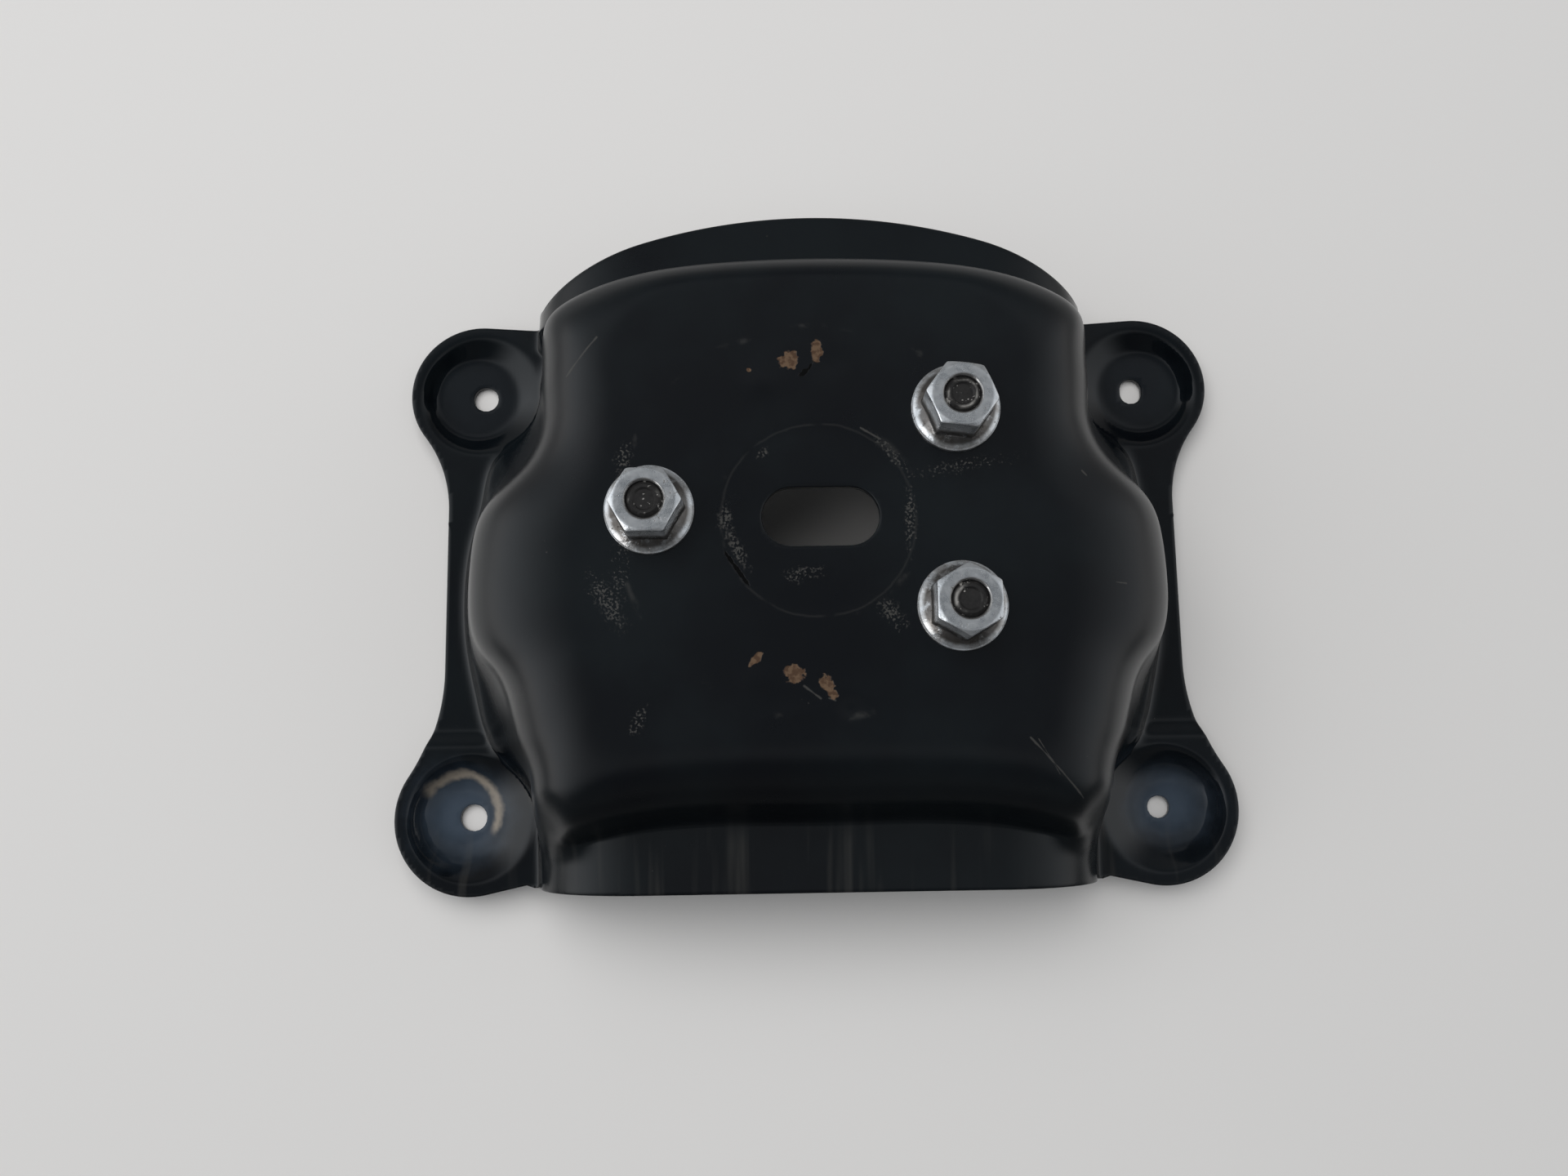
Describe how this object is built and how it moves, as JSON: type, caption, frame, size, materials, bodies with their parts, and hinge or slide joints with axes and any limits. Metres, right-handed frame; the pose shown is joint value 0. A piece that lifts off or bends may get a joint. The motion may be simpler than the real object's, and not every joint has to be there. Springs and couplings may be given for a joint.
{
  "type": "pressed steel dome mounting bracket",
  "caption": "Deep-drawn steel dome on dished bolt-down feet, with wheel studs and flange nuts on its flat crown, an oval hand slot and a backing plate.",
  "frame": {"origin": "middle of the footprint, on the mounting plane that the feet stand on", "axes": "+X across the width, +Y towards the curved rim, +Z out of the crown, the way the studs point"},
  "size_m": [0.3246, 0.254, 0.1081],
  "materials": {
    "black_coat": "satin black coating, chipped and scratched, with small rust spots",
    "black_coat_inside": "satin black coating",
    "stud_steel": "dark phosphated steel, worn bright at the tip's chamfer",
    "zinc_plate": "bright zinc plate with grime and brown stains in its corners"
  },
  "bodies": {
    "root": {"bracket_shell": "black_coat", "backing_plate": "black_coat_inside", "stud_1": "stud_steel", "stud_2": "stud_steel", "stud_3": "stud_steel", "nut_1": "zinc_plate", "nut_2": "zinc_plate", "nut_3": "zinc_plate"}
  },
  "joints": []
}
